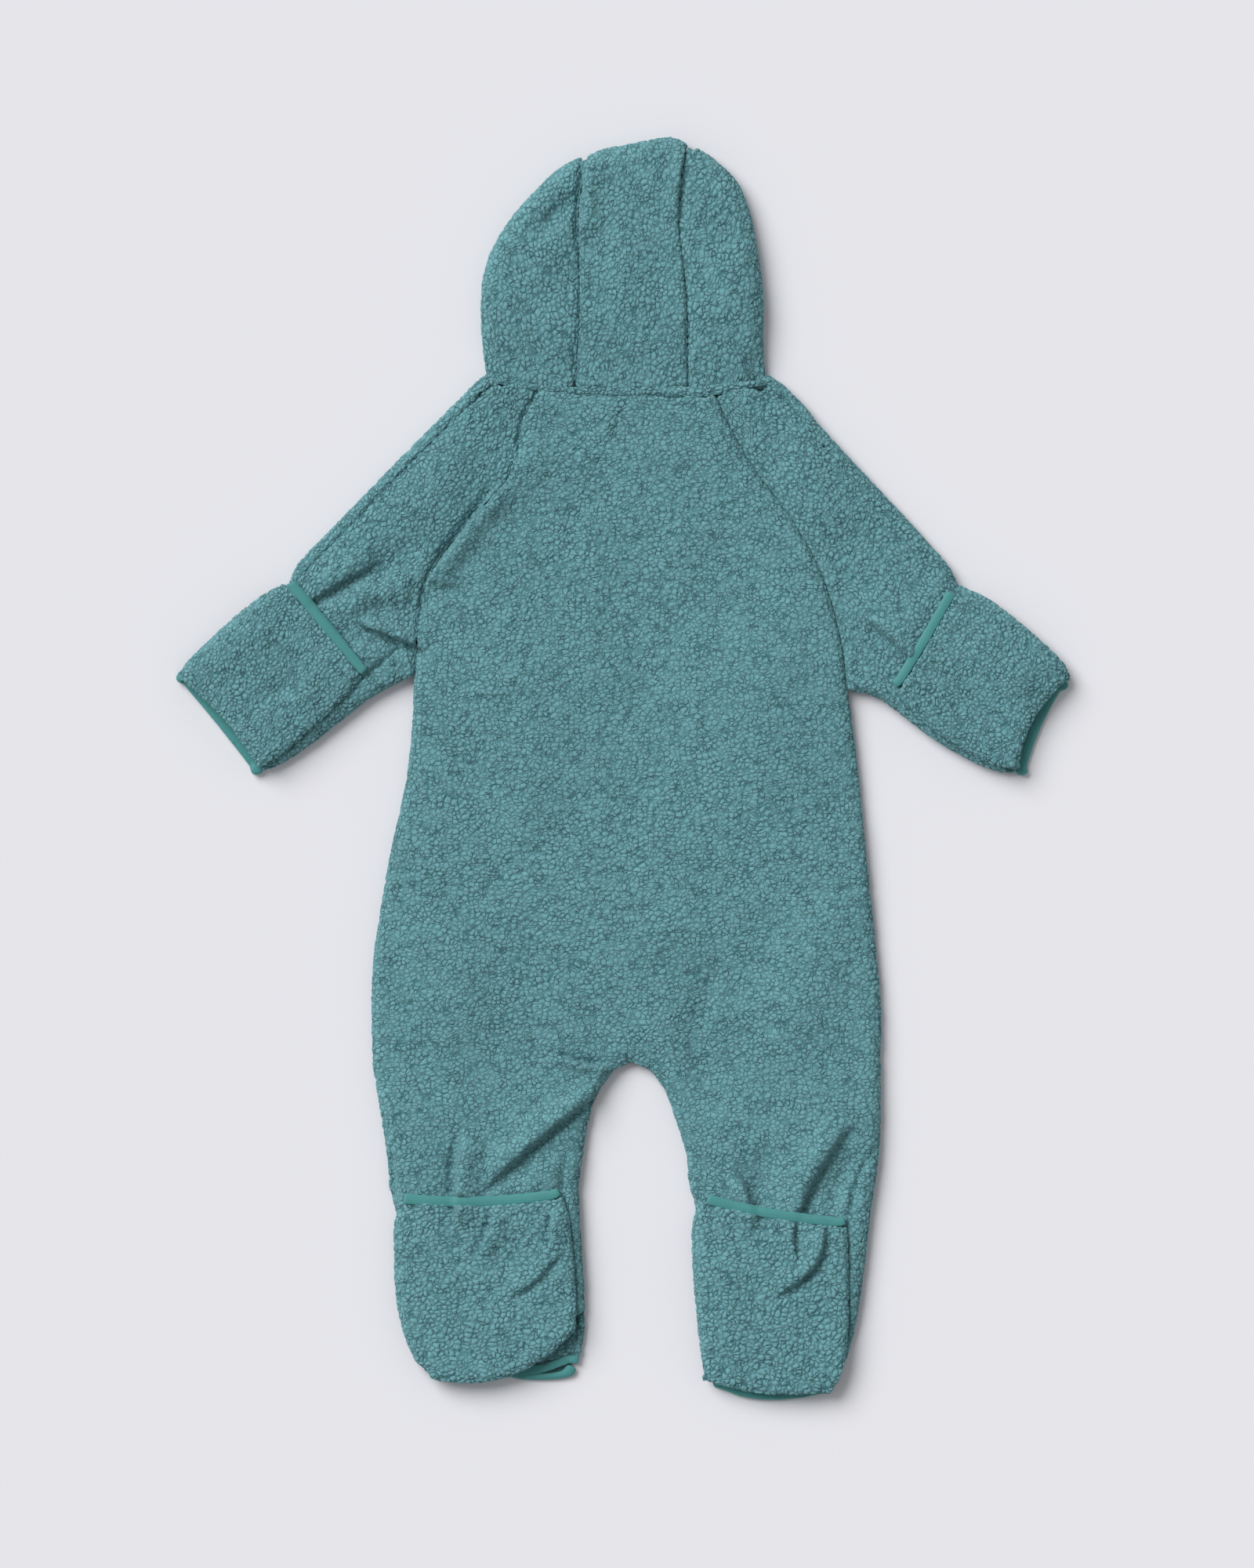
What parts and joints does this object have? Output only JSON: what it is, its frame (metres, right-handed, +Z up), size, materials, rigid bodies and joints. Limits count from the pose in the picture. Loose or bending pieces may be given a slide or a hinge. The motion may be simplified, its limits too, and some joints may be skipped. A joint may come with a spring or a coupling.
{
  "type": "fleece onesie",
  "caption": "Baby's hooded fleece onesie laid flat with its back up, with fold-over mittens and fold-over booties edged in stretch tape and a zip down the front.",
  "frame": {"origin": "bottom centre of the bounding box, on the surface that the garment lies on", "axes": "+Z up from the surface and out of the garment's back; +Y towards the hood; +X to the right as the picture shows it, the wearer's right"},
  "size_m": [0.5759, 0.8034, 0.0165],
  "materials": {
    "fleece": "deep nubby curled fleece, matte",
    "binding": "smooth stretch knit tape, soft sheen",
    "zip_tape": "woven tape with moulded teeth",
    "zip_metal": "satin cast metal"
  },
  "bodies": {
    "root": {"back": "fleece", "front_left": "fleece", "front_right": "fleece", "ankle_binding_left": "binding", "ankle_binding_right": "binding", "sleeve_back_left": "fleece", "sleeve_back_right": "fleece", "sleeve_front_left": "fleece", "sleeve_front_right": "fleece", "cuff_binding_left": "binding", "cuff_binding_right": "binding", "mitten_flap_left": "fleece", "mitten_flap_right": "fleece", "mitten_binding_left": "binding", "mitten_binding_right": "binding", "bootie_flap_left": "fleece", "bootie_flap_right": "fleece", "bootie_binding_left": "binding", "bootie_binding_right": "binding", "hood_centre": "fleece", "hood_side_left": "fleece", "hood_side_right": "fleece", "neck_band": "fleece", "hood_binding": "binding", "zip_tape": "zip_tape", "zip_slider": "zip_metal"}
  },
  "joints": []
}
